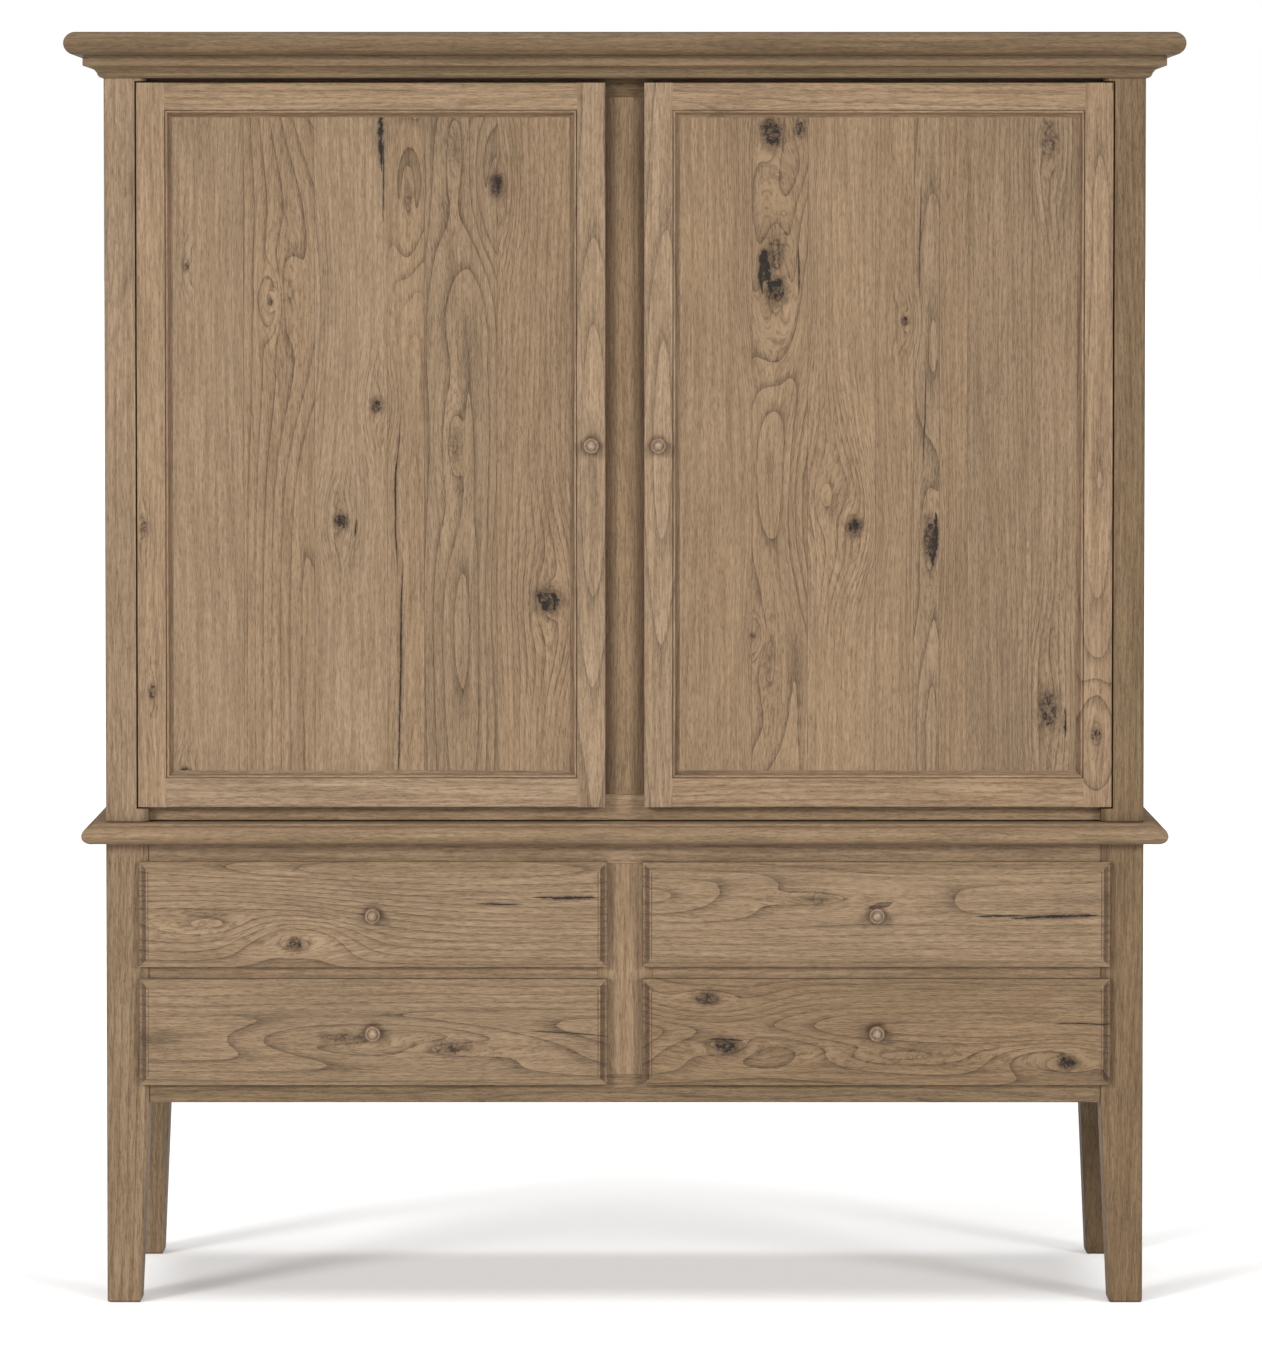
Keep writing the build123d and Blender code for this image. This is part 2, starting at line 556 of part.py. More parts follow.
def knob(centre, height, face):
    """A turned knob: slender neck, ringed head with a domed boss, and a tenon."""
    foot = (7.5, 1.5)
    neck_end = (9.5, 13.0)
    rim_start = (12.0, 14.2)
    ring_start = (11.6, 18.0)
    groove = (8.6, 18.3)
    boss = 7.2
    tip = (0, groove[1] + boss)
    tenon_end = (0, -KNOB_TENON_LENGTH)
    stem = Polyline(tenon_end, (KNOB_TENON, tenon_end[1]), (KNOB_TENON, 0), (foot[0], 0), foot)
    neck = SagittaArc(foot, neck_end, 3.6)
    flare = Line(neck_end, rim_start)
    rim = ThreePointArc(rim_start, (12.6, 16.0), ring_start)
    ring = ThreePointArc(ring_start, (10.2, 19.4), groove)
    step = Line(groove, (boss, groove[1]))
    dome = CenterArc((0, groove[1]), boss, 0, 90)
    turned = revolve(make_face([stem, neck, flare, rim, ring, step, dome, Line(tip, tenon_end)]), Axis.Y)
    outwards = Plane(origin=(centre, face, height), x_dir=(1, 0, 0), z_dir=(0, 0, -1))
    return (outwards * turned).solid()


def tenon_hole(centre, height, face):
    """The hole that a knob's tenon fills."""
    return rod(KNOB_TENON, (centre, face - 1, height), (centre, face + KNOB_TENON_LENGTH, height))


def make_doors():
    knob_x = DOOR_INNER + STILE_FLAT / 2
    knob_z = (DOOR_BOTTOM + DOOR_TOP) / 2
    free, hinged = door_stiles()
    free = free - tenon_hole(knob_x, knob_z, FRONT)
    cups = [hinge_cup(height) for height in HINGE_HEIGHTS]
    for height in HINGE_HEIGHTS:
        pocket = rod(CUP_RADIUS, (CUP_CENTRE, DOOR_BACK - CUP_DEPTH, height), (CUP_CENTRE, REAR, height))
        hinged = hinged - pocket
    nodes = {"stiles": [free, hinged], "rails": list(door_rails()), "panel": [door_panel()],
             "knob": [knob(knob_x, knob_z, FRONT)], "hinge_cups": cups}
    for name, pieces in nodes.items():
        save(f"right_door_{name}", *pieces)
        save(f"left_door_{name}", *[other_side(piece) for piece in pieces])
    save("hinge_plates", *both_sides([hinge_plate(height) for height in HINGE_HEIGHTS]))
    save("hinge_arms", *both_sides([hinge_arm(height) for height in HINGE_HEIGHTS]))


# ---- drawers ------------------------------------------------------------------------------
BOX_SIDE = 14.0              # thickness of a drawer box's sides and ends
BOX_PLAY = 1.5               # each side, between a drawer box and its opening
BOX_REAR = 215.0
BOX_BOTTOM_THICK = 8.0
BOX_GROOVE = 5.0


def drawer_front(bottom, top):
    """A drawer front whose border slopes back on all four edges to a narrow lip."""
    def section(low, high):
        lip = DRAWER_FRONT_THICK - BEVEL_DEPTH
        soft = 2.5
        slope = BEVEL_DEPTH / BEVEL_WIDTH
        face = DRAWER_FRONT_THICK
        near = BEVEL_WIDTH - soft
        below = SagittaArc((low, lip), (low + near, lip + near * slope), -0.9)
        ease_in = SagittaArc(below @ 1, (low + BEVEL_WIDTH + 1.5, face), -0.35)
        above = SagittaArc((high - near, lip + near * slope), (high, lip), -0.9)
        ease_out = SagittaArc((high - BEVEL_WIDTH - 1.5, face), above @ 0, -0.35)
        flat = Line(ease_in @ 1, ease_out @ 0)
        rest = Polyline(above @ 1, (high, 0), (low, 0), below @ 0)
        return make_face([below, ease_in, flat, ease_out, above, rest])

    upright = Plane(origin=(0, DRAWER_BACK, 0), x_dir=(0, 0, 1), z_dir=(1, 0, 0))
    level = Plane(origin=(0, DRAWER_BACK, 0), x_dir=(1, 0, 0), z_dir=(0, 0, -1))
    along_x = extrude(upright * section(bottom, top), HALF)
    along_z = extrude(level * section(DRAWER_INNER, DRAWER_OUTER), HEIGHT, both=True)
    return (along_x & along_z).solid()


def drawer_box(bottom, top):
    """Two sides, a sub-front and a back, with a thin bottom let into grooves."""
    left = MULLION_BASE / 2 + BOX_PLAY
    right = POST_INNER - BOX_PLAY
    inner_left = left + BOX_SIDE
    inner_right = right - BOX_SIDE
    sheet_bottom = bottom + 10
    sheet = board(inner_left - BOX_GROOVE, inner_right + BOX_GROOVE,
                  DRAWER_BACK + BOX_SIDE - BOX_GROOVE, BOX_REAR - BOX_SIDE + BOX_GROOVE,
                  sheet_bottom, sheet_bottom + BOX_BOTTOM_THICK)
    walls = [board(left, inner_left, DRAWER_BACK, BOX_REAR, bottom, top),
             board(inner_right, right, DRAWER_BACK, BOX_REAR, bottom, top),
             board(inner_left, inner_right, DRAWER_BACK, DRAWER_BACK + BOX_SIDE, bottom, top),
             board(inner_left, inner_right, BOX_REAR - BOX_SIDE, BOX_REAR, bottom, top)]
    return [wall - sheet for wall in walls] + [sheet]


def make_drawers():
    play = 0.5
    levels = {"upper": (UPPER_DRAWER, BASE_RAILS["middle"][1] + play, BASE_RAILS["top"][0] - 2.5),
              "lower": (LOWER_DRAWER, BASE_RAILS["bottom"][1] + play, BASE_RAILS["middle"][0] - 2.5)}
    for level, (front_levels, box_bottom, box_top) in levels.items():
        knob_x = (DRAWER_INNER + DRAWER_OUTER) / 2
        knob_z = sum(front_levels) / 2
        front = drawer_front(*front_levels) - tenon_hole(knob_x, knob_z, DRAWER_FACE)
        nodes = {"front": [front], "box": drawer_box(box_bottom, box_top),
                 "knob": [knob(knob_x, knob_z, DRAWER_FACE)]}
        for name, pieces in nodes.items():
            save(f"drawer_{level}_right_{name}", *pieces)
            save(f"drawer_{level}_left_{name}", *[other_side(piece) for piece in pieces])


os.makedirs("parts", exist_ok=True)
make_base()
make_waist_and_crown()
make_upper_case()
make_fittings()
make_doors()
make_drawers()
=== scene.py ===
# %% [markdown]
# # An oak armoire, finished around its CAD frame
#
# The joiner's work is already done: every board, post, door and drawer comes in at its real
# size. What is left is what makes oak look like oak: growth rings, pores, knots, boards glued
# side by side and softened edges. The cells below add those one at a time, and give the turned
# knobs their finish.

import json
import math
import random

import bmesh
import bpy
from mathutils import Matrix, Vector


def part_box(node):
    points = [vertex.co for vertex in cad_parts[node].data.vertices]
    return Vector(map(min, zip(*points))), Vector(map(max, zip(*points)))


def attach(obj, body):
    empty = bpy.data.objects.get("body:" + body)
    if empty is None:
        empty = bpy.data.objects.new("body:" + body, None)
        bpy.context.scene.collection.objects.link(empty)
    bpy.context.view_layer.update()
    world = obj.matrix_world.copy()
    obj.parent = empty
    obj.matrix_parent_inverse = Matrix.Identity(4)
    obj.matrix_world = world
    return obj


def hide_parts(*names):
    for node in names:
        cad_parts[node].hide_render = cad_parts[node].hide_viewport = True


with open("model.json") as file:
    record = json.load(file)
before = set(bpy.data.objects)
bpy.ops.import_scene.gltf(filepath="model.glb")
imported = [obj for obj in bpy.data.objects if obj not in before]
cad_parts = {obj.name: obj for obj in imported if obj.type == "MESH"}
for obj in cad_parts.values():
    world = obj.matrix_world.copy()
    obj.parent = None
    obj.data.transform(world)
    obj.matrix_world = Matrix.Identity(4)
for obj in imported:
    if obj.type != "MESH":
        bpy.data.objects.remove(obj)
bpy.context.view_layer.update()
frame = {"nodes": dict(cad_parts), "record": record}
NODES = frame["nodes"]
BODY_OF = {node: body for body, nodes in frame["record"]["behaviour"]["bodies"].items()
           for node in nodes}

# %% [markdown]
# ## The camera
#
# The cupboard is seen square on, from a standing person's eye height and from far away, so
# uprights stay upright and the front shows its true proportions. A view camera would drop its
# lens to take in the feet. Here part of that aim comes from a slight tilt and the rest from a
# modest lens shift.

# %% Camera
EYE_HEIGHT = 1.675
CASE_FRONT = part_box("leg_front_left")[0].y
CAMERA_DISTANCE = 9.16          # from the front faces of the legs
FOCAL_LENGTH = 153.7            # on a 36 mm sensor
LENS_SHIFT = -0.15
TILT = math.radians(2.13)
SIDE_SHIFT = 0.0046

camera_data = bpy.data.cameras.new("studio_camera")
camera_data.lens = FOCAL_LENGTH
camera_data.sensor_width = 36.0
camera_data.shift_y = LENS_SHIFT
camera_data.shift_x = SIDE_SHIFT
camera_data.clip_end = 400.0
camera = bpy.data.objects.new("studio_camera", camera_data)
camera.location = (0.0, CASE_FRONT - CAMERA_DISTANCE, EYE_HEIGHT)
camera.rotation_euler = (math.radians(90) - TILT, 0.0, 0.0)
bpy.context.scene.collection.objects.link(camera)
bpy.context.scene.camera = camera
print("camera at", tuple(round(value, 3) for value in camera.location))

# %% [markdown]
# ## Writing shader sums as Python
#
# A wood finish is mostly arithmetic: distances, waves and masks. Wiring Math nodes by hand
# hides that arithmetic, so one small class wraps a socket and gives it Python's own signs.
# `1 - mask` adds a Subtract node, and the finish reads like the formula it is.

# %% Sockets that can be added and multiplied
class Wire:
    """One output of a node, usable in Python expressions."""

    def __init__(self, finish, socket):
        self.finish = finish
        self.socket = socket

    def math(self, operation, *others):
        return self.finish.node("ShaderNodeMath", {"operation": operation}, [self, *others])

    def __add__(self, other):
        return self.math("ADD", other)

    __radd__ = __add__

    def __mul__(self, other):
        return self.math("MULTIPLY", other)

    __rmul__ = __mul__

    def __sub__(self, other):
        return self.math("SUBTRACT", other)

    def __rsub__(self, other):
        return self.finish.node("ShaderNodeMath", {"operation": "SUBTRACT"}, [other, self])

    def __truediv__(self, other):
        return self.math("DIVIDE", other)

    def __pow__(self, other):
        return self.math("POWER", other)

    def other(self, name):
        """Another output of the same node."""
        return Wire(self.finish, self.socket.node.outputs[name])

    def smooth(self, low, high):
        """0 below low, 1 above high, with a soft step between."""
        return self.finish.node("ShaderNodeMapRange", {"interpolation_type": "SMOOTHSTEP"},
                                {"Value": self, "From Min": low, "From Max": high})


class Finish:
    """A material or a sky under construction, with one way of adding any node."""

    def __init__(self, owner):
        self.owner = owner
        owner.use_nodes = True
        self.tree = owner.node_tree
        self.tree.nodes.clear()

    def node(self, kind, settings=None, inputs=(), output=0):
        made = self.tree.nodes.new(kind)
        for name, value in (settings or {}).items():
            setattr(made, name, value)
        pairs = inputs.items() if isinstance(inputs, dict) else enumerate(inputs)
        for key, value in pairs:
            if isinstance(value, Wire):
                self.tree.links.new(value.socket, made.inputs[key])
            else:
                made.inputs[key].default_value = value
        return Wire(self, made.outputs[output]) if len(made.outputs) else None

    def mix(self, factor, first, second, blend="MIX"):
        """Mixes two colours."""
        return self.node("ShaderNodeMix", {"data_type": "RGBA", "blend_type": blend},
                         {0: factor, 6: first, 7: second}, 2)

    def noise(self, vector, detail=2.0, roughness=0.5):
        """Soft noise from 0 to 1, one feature to each unit of the vector."""
        return self.node("ShaderNodeTexNoise", {},
                         {"Vector": vector, "Scale": 1.0, "Detail": detail, "Roughness": roughness})

    def value(self, number):
        made = self.node("ShaderNodeValue")
        made.socket.default_value = number
        return made

    def vector(self, x, y, z):
        return self.node("ShaderNodeCombineXYZ", {}, [x, y, z])

    def surface(self, **sockets):
        """Ends the material with a Principled shader."""
        settings = {name.replace("_", " ").title().replace("Ior", "IOR"): value
                    for name, value in sockets.items()}
        shader = self.node("ShaderNodeBsdfPrincipled", {}, settings)
        self.node("ShaderNodeOutputMaterial", {}, [shader])
        return self.owner


def new_finish(name):
    """An empty material to build on."""
    return Finish(bpy.data.materials.new(name))


print("shader maths ready")

# %% [markdown]
# ## What oak is made of
#
# A tree grows in rings round its pith, and a board is a flat slice through them. Where the
# slice runs close to the pith the rings open into long nested ovals, which joiners call
# cathedral figure; far from it they are close straight lines. So the finish doesn't draw a
# grain picture. It works out how far each point lies from a pith line and lets the slice make
# the figure. Each ring starts with a band of large pores, which reads as a dark line with a
# crisp edge on one side. Fine pores lie everywhere as short dashes along the grain. At a knot
# the rings bend round an old branch.

# %% Oak: colours and sizes
OAK_PALE = (0.262, 0.185, 0.116, 1.0)
OAK_MIDDLE = (0.176, 0.118, 0.069, 1.0)
OAK_DARK = (0.048, 0.028, 0.014, 1.0)
KNOT_BROWN = (0.046, 0.024, 0.012, 1.0)
KNOT_BLACK = (0.011, 0.007, 0.0045, 1.0)
WARM = (1.07, 0.97, 0.86, 1.0)  # tint of the redder boards
STAIN_AND_PAINTED_SHADE_TINT = (0.16, 0.06, 0.01, 1.0)  # what stain does to wood that is soaked with it; painted shade darkens with the same tint
KNOB_SHADOW_DARKNESS = 0.50               # how dark the painted shadow round the foot of a knob is
PLAIN_RING = 0.0055             # growth ring in a plain board
WIDE_RING = 0.0135              # and in a fast-grown one with cathedral figure
PORE_ACROSS = 0.0014
PORE_ALONG = 0.017
STREAK_ACROSS = 0.0055
STREAK_ALONG = 0.16
SLOW_BEND = 0.030               # how far a board's grain wanders over its length
QUICK_BEND = 0.0050             # and from one hand's breadth to the next
PITH_SWELL = 0.12               # how much the pith line rises and sinks
PITH_LEAN = 0.05                # how fast a board runs away from the pith
SEAM_WIDTH = 0.0008             # of the line where two boards are glued
PORE_DEPTH = 0.0008
CROSSWAYS = {"X": ("Z", "Y"), "Y": ("X", "Z"), "Z": ("X", "Y")}
print("ring widths", PLAIN_RING, WIDE_RING, "m")

# %% Oak: one function for every board
def stepped(across, edges, values):
    """A value for each board, changing at each edge."""
    total = values[0]
    for edge, before, after in zip(edges, values, values[1:]):
        total = across.math("GREATER_THAN", edge) * (after - before) + total
    return total


def oak(name, grain, boards, knots=(), cracks=(), tone=1.0, seed=0.0, sunk=None, gloss=0.25,
        turned=False, end_stain=0.42, fitting=None):
    """Oak whose grain runs along the axis named by grain. Places are in metres, as built.

    boards: (left or lower edge, tone from 0 to 1, pith across, eye of the figure along,
             figure from 0 for plain to 1 for cathedral)
    knots: (x, z, radius, stretch along the grain, darkness)
    cracks: (x, z, length, width)
    tone: multiplies the colour of the whole piece
    sunk: painted shade as (axis, where it starts, where it is darkest, how much);
    on X it is measured to both sides of the middle
    turned: True for a board that lies flat or stands edge on, so its width runs the other way
    end_stain: how much darker the stain takes on end grain
    fitting: (x, z, radius) of a knob, which gets a painted shadow round its foot
    """
    finish = new_finish(name)
    point = finish.node("ShaderNodeTexCoord", {}, {}, "Object")
    split = finish.node("ShaderNodeSeparateXYZ", {}, [point])
    across = split.other(CROSSWAYS[grain][1 if turned else 0])
    deep = split.other(CROSSWAYS[grain][0 if turned else 1])
    along = split.other(grain)

    edges = [board[0] for board in boards[1:]]
    shade = stepped(across, edges, [board[1] for board in boards]) + 0.0001 * across
    pith = stepped(across, edges, [board[2] for board in boards])
    eye = stepped(across, edges, [board[3] for board in boards])
    figure = stepped(across, edges, [board[4] for board in boards])
    ring = figure * (WIDE_RING - PLAIN_RING) + PLAIN_RING
    shift = shade * 31.0 + seed * 1.37

    slow = finish.noise(finish.vector(across * 6 + shift, deep * 6, along * 0.8 + shift), 1.0)
    waver = finish.noise(finish.vector(across * 35, deep * 35 + shift, along * 7), 2.0)
    bent = across + (slow - 0.5) * SLOW_BEND + (waver - 0.5) * QUICK_BEND

    mask = heart = whorl = finish.value(0.0)
    if knots or cracks:
        rag = finish.noise(finish.vector(across * 110, deep * 110, along * 110), 3.0, 0.7)
        blotch = finish.noise(finish.vector(across * 130 + 7.0, deep * 130, along * 90), 2.0, 0.6)
        cells = finish.node("ShaderNodeTexVoronoi", {"feature": "DISTANCE_TO_EDGE"},
                            {"Vector": finish.vector(across + rag * 0.006, deep, along + rag * 0.008),
                             "Scale": 120.0})
        fissure = 1 - cells.smooth(0.02, 0.16)
    for x, z, radius, stretch, darkness in knots:
        here_across, here_along = (z, x) if grain == "X" else (x, z)
        off = across - here_across
        down = (along - here_along) / stretch
        distance = (off * off + down * down).math("SQRT") / radius
        ragged = distance + (rag - 0.5) * 1.8
        reach = (off * off + down * down * 0.25).math("SQRT") / radius
        pull = (reach * reach * -0.09).math("EXPONENT")
        bent = bent - off * pull * 0.8
        mask = mask.math("MAXIMUM", (1 - ragged.smooth(0.6, 2.2)) * darkness)
        core = (1 - ragged.smooth(0.75, 1.15)) * darkness
        heart = heart.math("MAXIMUM", core * (fissure * 0.8 + blotch.smooth(0.50, 0.58)))
        whorl = whorl + pull * (reach + slow)
    for x, z, length, width in cracks:
        here_across, here_along = (z, x) if grain == "X" else (x, z)
        from_middle = (along - here_along) / (length / 2)
        half = (1 - from_middle * from_middle).math("MAXIMUM", 0.0) * (width / 2) + 0.00001
        off = (bent - here_across + (waver - 0.5) * 0.007 + (rag - 0.5) * width * 0.8).math("ABSOLUTE")
        opening = 1 - (off / half + (blotch - 0.5) * 2.2).smooth(0.4, 1.1)
        mask = mask.math("MAXIMUM", (1 - (off / (half * 4)).smooth(0.1, 1.0)) * 0.55)
        heart = heart.math("MAXIMUM", opening)

    from_pith = bent - pith
    run = (along - eye) * PITH_LEAN
    swell = finish.noise(finish.vector(shift, deep * 2, along * 1.0), 1.0)
    depth = (swell - 0.3) * PITH_SWELL
    radius_here = (from_pith * from_pith + depth * depth + run * run).math("SQRT")
    phase = radius_here / ring + slow * 1.0 + waver * 0.32 + whorl * 1.3
    line = (1 - phase.math("FRACT")) ** 5.0

    fine = finish.noise(finish.vector(bent / PORE_ACROSS, deep / PORE_ACROSS,
                                      along / PORE_ALONG + shift), 3.0, 0.75)
    streak = finish.noise(finish.vector(bent / STREAK_ACROSS, deep / STREAK_ACROSS,
                                        along / STREAK_ALONG + shift), 4.0, 0.7)
    cloud = finish.noise(finish.vector(across * 9 + shift, deep * 9, along * 3), 2.0)
    pores = fine.smooth(0.47, 0.60)
    strength = (figure * 0.88 + 0.10 + whorl * 0.40).math("MINIMUM", 0.95)
    rings = line * (pores * 0.35 + 0.65) * strength
    colour = finish.mix(streak.smooth(0.30, 0.70), OAK_MIDDLE, OAK_PALE)
    colour = finish.mix(rings, colour, OAK_DARK)
    colour = finish.mix(pores * 0.40, colour, OAK_DARK)
    warmth = (shade * 23.7).math("FRACT")
    colour = finish.mix(warmth * 0.5, colour, finish.mix(1.0, colour, WARM, "MULTIPLY"))
    for edge in edges:
        seam = 1 - ((across - edge).math("ABSOLUTE") / SEAM_WIDTH).smooth(0.2, 1.0)
        colour = finish.mix(seam * 0.5, colour, OAK_DARK)
    colour = finish.mix(mask * 0.8, colour, KNOT_BROWN)
    level = shade * 0.85 + 0.64 + (cloud - 0.5) * 0.42
    deeper = (tone, tone ** 1.08, tone ** 1.35, 1.0)
    colour = finish.mix(1.0, colour, deeper, "MULTIPLY")
    facing = finish.node("ShaderNodeSeparateXYZ", {}, [point.other("Normal")]).other(grain)
    stain_and_painted_shade = facing.math("ABSOLUTE").smooth(0.10, 0.55) * end_stain
    # Painted shade: darker into a recess, or on X towards both sides of the middle.
    if sunk:
        axis, start, end, amount = sunk
        place = split.other(axis).math("ABSOLUTE") if axis == "X" else split.other(axis)
        stain_and_painted_shade = stain_and_painted_shade.math("MAXIMUM", place.smooth(start, end) * amount)
    # A painted shadow round the foot of a knob.
    if fitting:
        x, z, radius = fitting
        off, down = split.other("X") - x, split.other("Z") - z
        distance = (off * off + down * down).math("SQRT") / radius
        stain_and_painted_shade = stain_and_painted_shade.math("MAXIMUM", (1 - distance.smooth(0.9, 1.7)) * KNOB_SHADOW_DARKNESS)
    # End grain takes the stain darker; the painted shade and the painted knob shadow darken with the same
    # tint.
    colour = finish.mix(stain_and_painted_shade, colour, finish.mix(1.0, colour, STAIN_AND_PAINTED_SHADE_TINT, "MULTIPLY"))
    colour = finish.node("ShaderNodeVectorMath", {"operation": "SCALE"},
                         {"Vector": colour, "Scale": level})
    colour = finish.mix(heart.math("MINIMUM", 1.0), colour, KNOT_BLACK)
    height = 0.5 - pores * 0.4 - rings * 0.3 - heart * 1.5
    bump = finish.node("ShaderNodeBump", {}, {"Strength": 0.5, "Distance": PORE_DEPTH, "Height": height})
    rough = pores * 0.15 + 0.58
    return finish.surface(base_color=colour, roughness=rough - (gloss - 0.25),
                          specular_ior_level=gloss, normal=bump)


print("oak ready")

# %% [markdown]
# ## The boards the joiner picked
#
# Rustic oak keeps its knots and splits, and the maker puts the lively boards where they show.
# The door panels are glued up from six and eight boards, listed with their tone and with the
# place of the pith that gives them straight or cathedral figure.

# %% Lively boards
LEFT_PANEL = dict(
    boards=[(-0.74, 0.52, -0.93, 1.4, 0.10), (-0.608, 0.50, -0.500, 1.45, 0.75),
            (-0.495, 0.60, -0.66, 1.2, 0.10), (-0.379, 0.50, -0.33, 0.9, 0.30),
            (-0.320, 0.40, -0.266, 1.377, 1.0), (-0.204, 0.46, -0.05, 1.3, 0.35)],
    knots=[(-0.699, 1.661, 0.004, 1.5, 0.8), (-0.565, 1.604, 0.004, 1.5, 0.7),
           (-0.535, 1.62, 0.018, 1.6, 0.0), (-0.395, 1.438, 0.008, 1.2, 0.9),
           (-0.454, 1.254, 0.010, 1.0, 0.95), (-0.204, 1.791, 0.009, 1.7, 0.95),
           (-0.122, 1.127, 0.017, 1.1, 1.0), (-0.271, 1.377, 0.010, 2.1, 0.22),
           (-0.271, 1.85, 0.012, 2.5, 0.12), (-0.345, 1.77, 0.006, 2.5, 0.3),
           (-0.702, 0.852, 0.006, 1.0, 0.9)],
    cracks=[(-0.388, 1.865, 0.11, 0.012), (-0.383, 1.80, 0.14, 0.003), (-0.362, 1.30, 0.26, 0.0026),
            (-0.355, 1.02, 0.36, 0.0036), (-0.440, 1.243, 0.03, 0.003)])
RIGHT_PANEL = dict(
    boards=[(0.07, 0.50, -0.06, 1.3, 0.15), (0.203, 0.50, 0.245, 1.00, 0.65), (0.292, 0.58, 0.51, 1.3, 0.15),
            (0.400, 0.50, 0.60, 1.0, 0.15), (0.461, 0.48, 0.489, 1.07, 0.7), (0.502, 0.42, 0.62, 1.3, 0.15),
            (0.547, 0.36, 0.80, 1.4, 0.25), (0.650, 0.44, 0.56, 1.2, 0.2)],
    knots=[(0.235, 1.874, 0.015, 1.3, 1.0), (0.279, 1.882, 0.008, 1.5, 0.7), (0.241, 1.621, 0.014, 1.3, 1.0),
           (0.241, 1.680, 0.013, 2.2, 0.45), (0.447, 1.573, 0.005, 1.2, 0.9), (0.367, 1.245, 0.011, 1.1, 1.0),
           (0.486, 1.226, 0.008, 3.0, 0.85), (0.319, 1.297, 0.018, 1.2, 0.0), (0.678, 0.955, 0.014, 1.8, 0.6),
           (0.678, 1.863, 0.012, 1.6, 0.4), (0.231, 1.03, 0.010, 2.4, 0.10), (0.205, 1.07, 0.004, 1.0, 0.7)],
    cracks=[(0.241, 1.655, 0.08, 0.004), (0.488, 1.225, 0.09, 0.005), (0.470, 1.70, 0.20, 0.0018),
            (0.478, 1.42, 0.16, 0.0016), (0.690, 0.93, 0.05, 0.003)])
LEFT_STILES = dict(boards=[(-0.80, 0.50, -0.90, 1.3, 0.05), (-0.20, 0.52, -0.050, 1.55, 0.7)],
                   knots=[(-0.768, 1.245, 0.005, 2.0, 0.6), (-0.755, 0.98, 0.005, 2.5, 0.5)])
RIGHT_STILES = dict(boards=[(0.0, 0.52, 0.062, 1.15, 0.7), (0.50, 0.50, 0.756, 1.24, 0.65)],
                    knots=[(0.753, 0.912, 0.007, 1.5, 0.6)])
UPPER_LEFT_FRONT = dict(boards=[(0.5, 0.52, 0.70, -0.35, 0.75)],
                        knots=[(-0.526, 0.579, 0.009, 1.3, 0.85), (-0.66, 0.61, 0.016, 2.2, 0.0)],
                        cracks=[(-0.095, 0.655, 0.11, 0.005), (-0.20, 0.643, 0.08, 0.002)])
UPPER_RIGHT_FRONT = dict(boards=[(0.5, 0.48, 0.655, 0.34, 0.6)],
                         knots=[(0.311, 0.652, 0.008, 3.0, 0.3)],
                         cracks=[(0.690, 0.625, 0.15, 0.005), (0.60, 0.628, 0.08, 0.002)])
LOWER_LEFT_FRONT = dict(boards=[(0.3, 0.44, 0.428, -0.32, 0.7)],
                        knots=[(-0.446, 0.429, 0.007, 3.2, 0.35), (-0.279, 0.413, 0.009, 3.0, 0.45)],
                        cracks=[(-0.09, 0.43, 0.14, 0.002)])
LOWER_RIGHT_FRONT = dict(boards=[(0.3, 0.46, 0.425, 0.30, 0.6)],
                         knots=[(0.133, 0.493, 0.009, 1.6, 0.8), (0.160, 0.416, 0.011, 1.5, 0.8),
                                (0.706, 0.389, 0.009, 1.5, 0.9), (0.44, 0.40, 0.010, 3.5, 0.1)],
                         cracks=[(0.733, 0.448, 0.10, 0.003), (0.16, 0.416, 0.06, 0.002)])
LIVELY = {"left_door_panel": LEFT_PANEL, "right_door_panel": RIGHT_PANEL, "left_door_stiles": LEFT_STILES,
          "right_door_stiles": RIGHT_STILES,
          "left_door_rails": dict(boards=[(0.7, 0.55, 0.77, -0.5, 0.45), (1.5, 0.5, 1.98, -0.55, 0.4)]),
          "right_door_rails": dict(boards=[(0.7, 0.5, 0.86, 0.5, 0.5), (1.5, 0.5, 1.90, 0.35, 0.45)]),
          "drawer_upper_left_front": UPPER_LEFT_FRONT, "drawer_upper_right_front": UPPER_RIGHT_FRONT,
          "drawer_lower_left_front": LOWER_LEFT_FRONT, "drawer_lower_right_front": LOWER_RIGHT_FRONT}
# The tones hold shade as well as wood: pieces on the right, at the rear or set back are darker
# than their wood would be. All of them at 1 give a neutral finish.
TONES = {"upper_mullion": 0.76, "base_bottom_rail": 0.70, "crown_moulding": 0.68, "crown_cap": 0.58,
         "waist_top": 0.88, "upper_post_front_right": 0.55, "leg_front_left": 0.78,
         "leg_front_right": 0.58, "leg_rear_left": 0.66, "leg_rear_right": 0.31, "upper_top_rail": 0.38,
         "base_mullion": 0.88, "base_top_rail": 0.94, "left_door_panel": 0.91, "right_door_panel": 0.89,
         "drawer_upper_left_front": 0.92, "drawer_upper_right_front": 0.92,
         "drawer_lower_left_front": 0.90, "drawer_lower_right_front": 0.77}
# Painted shade held in the wood: in the recesses of the door mouldings, and on the mullion in
# place of the shadow of the doors, so it stays there when they open.
PAINTED_SHADE_BY_PIECE = {"door_stiles": ("Y", -0.2215, -0.2150, 0.38), "door_rails": ("Y", -0.2215, -0.2150, 0.38),
        "upper_mullion": ("X", 0.012, 0.030, 0.55)}
print("lively boards:", sorted(LIVELY))

